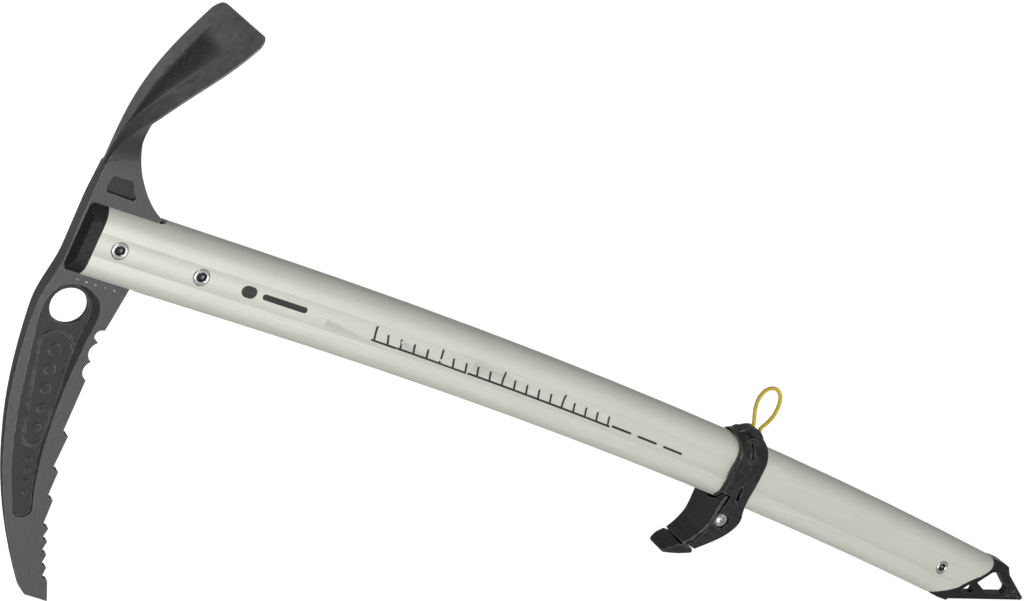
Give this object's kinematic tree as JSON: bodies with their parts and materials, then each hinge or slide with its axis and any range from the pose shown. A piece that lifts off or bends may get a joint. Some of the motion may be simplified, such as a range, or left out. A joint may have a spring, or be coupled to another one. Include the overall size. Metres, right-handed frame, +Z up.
{
  "type": "ice axe",
  "caption": "Ice axe with a toothed pick and flared adze on a gently bent oval shaft, a spike at the foot and a sliding finger rest with a cord loop.",
  "frame": {"origin": "centre of the karabiner hole in the head, on the mid-plane of the thickness", "axes": "+Z up the straight top of the shaft, +X to the adze side, Y through the thickness with -Y the side that carries the screw head"},
  "size_m": [0.2577, 0.0556, 0.5758],
  "materials": {
    "shaft_aluminium": "satin, fine lengthwise drawing marks",
    "head_steel": "satin black over forged steel, ground edges",
    "spike_steel": "satin black over steel",
    "plug_black": "gloss",
    "shim_grey": "matte",
    "rivet_steel": "brushed",
    "rivet_core": "dark, dull",
    "slider_nylon": "matte, slightly grained",
    "finger_rubber": "matte, ribbed",
    "liner_acetal": "smooth",
    "screw_steel": "bright plated",
    "bush_bronze": "plain bearing bronze",
    "spring_steel": "drawn wire",
    "cord_yellow": "braided"
  },
  "bodies": {
    "axe": {"shaft": "shaft_aluminium", "head": "head_steel", "top_plug_near": "plug_black", "top_plug_far": "plug_black", "tang_shim_near": "shim_grey", "tang_shim_far": "shim_grey", "head_rivets": "rivet_steel", "head_rivet_cores": "rivet_core", "spike": "spike_steel", "spike_plug": "plug_black", "spike_rivet": "rivet_steel", "spike_rivet_core": "rivet_core"},
    "slider": {"slider_collar": "slider_nylon", "slider_liners": "liner_acetal", "pivot_screw": "screw_steel", "pivot_nut": "screw_steel", "pivot_bush": "bush_bronze", "pivot_washers": "liner_acetal", "cord_tails": "cord_yellow", "cord_stopper": "plug_black"},
    "hook": {"hook_lever": "slider_nylon", "finger_pad": "finger_rubber", "hook_tip_cap": "slider_nylon", "brake_shoe": "finger_rubber", "lever_spring": "spring_steel"},
    "cord": {"cord_loop": "cord_yellow"}
  },
  "joints": [
    {"name": "slider_travel", "type": "hinge", "parent": "axe", "child": "slider", "pos_m": [-3.4704, 0, -0.0674], "axis": [0, 1, 0], "range_deg": [-4.2, 2.1]},
    {"name": "hook_release", "type": "hinge", "parent": "slider", "child": "hook", "pos_m": [-0.00505, 0, -0.34445], "axis": [0, 1, 0], "range_deg": [0, 6], "stiffness_Nm_per_rad": 0.01},
    {"name": "cord_swing", "type": "hinge", "parent": "slider", "child": "cord", "pos_m": [0.04203, 0, -0.34395], "axis": [0.0785, 0, 0.9969], "range_deg": [-60, 60]}
  ]
}
